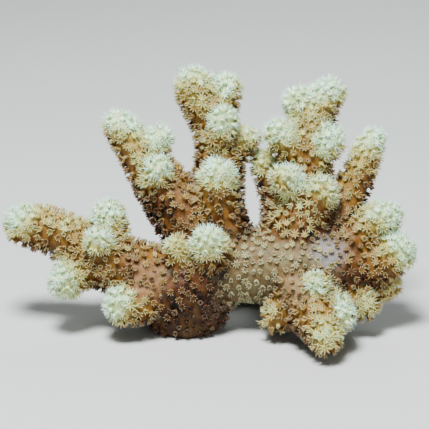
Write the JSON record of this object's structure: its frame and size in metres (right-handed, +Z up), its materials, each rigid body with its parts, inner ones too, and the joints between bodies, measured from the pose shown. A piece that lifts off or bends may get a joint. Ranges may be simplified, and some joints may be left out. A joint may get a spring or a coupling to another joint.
{
  "type": "finger leather coral",
  "caption": "Branching soft coral: a fan of plump fingers covered in small star-like polyps, rising from a stout stalk cut flat to stand on.",
  "frame": {"origin": "centre of the stalk's flat cut, on the ground", "axes": "+X to the right along the fan, +Y to the back, +Z up; the fan's front faces -Y"},
  "size_m": [0.1622, 0.0878, 0.0979],
  "materials": {
    "stalk_flesh": "matte soft flesh, tan to rust",
    "web_flesh": "matte soft flesh, cream to pinkish mauve",
    "branch_flesh": "matte soft flesh, orange tan with pale polyps",
    "tip_flesh": "matte soft flesh, cream white with pale polyps"
  },
  "bodies": {
    "root": {"trunk": "stalk_flesh", "web": "web_flesh", "rear_root": "stalk_flesh", "rear_stalk": "stalk_flesh", "left_arm": "branch_flesh", "upper_left_branch": "branch_flesh", "centre_branch": "branch_flesh", "right_centre_branch": "branch_flesh", "low_lobe": "branch_flesh", "right_branch": "branch_flesh", "right_end_finger": "branch_flesh", "right_upper_finger": "branch_flesh", "right_back_finger": "branch_flesh", "low_right_lobe": "branch_flesh", "centre_front_finger": "tip_flesh", "middle_finger": "tip_flesh", "small_middle_finger": "tip_flesh", "left_under_finger": "tip_flesh", "left_low_finger": "tip_flesh", "left_up_finger": "tip_flesh", "left_front_finger": "tip_flesh", "upper_left_side_finger": "tip_flesh", "upper_left_front_finger": "tip_flesh", "centre_top_finger": "tip_flesh", "centre_high_front_finger": "tip_flesh", "centre_knob": "branch_flesh", "slot_finger": "branch_flesh", "right_centre_right_tip": "tip_flesh", "right_centre_left_tip": "tip_flesh", "right_centre_left_finger": "tip_flesh", "right_centre_right_finger": "tip_flesh", "right_centre_front_finger": "tip_flesh", "right_centre_low_finger": "tip_flesh", "low_left_lobe": "branch_flesh", "low_front_finger": "tip_flesh", "low_small_finger": "tip_flesh", "back_left_finger": "branch_flesh", "back_stalk_finger": "branch_flesh", "back_upper_finger": "branch_flesh", "back_middle_finger": "branch_flesh", "back_web_finger": "branch_flesh", "back_right_finger": "branch_flesh"}
  },
  "joints": []
}
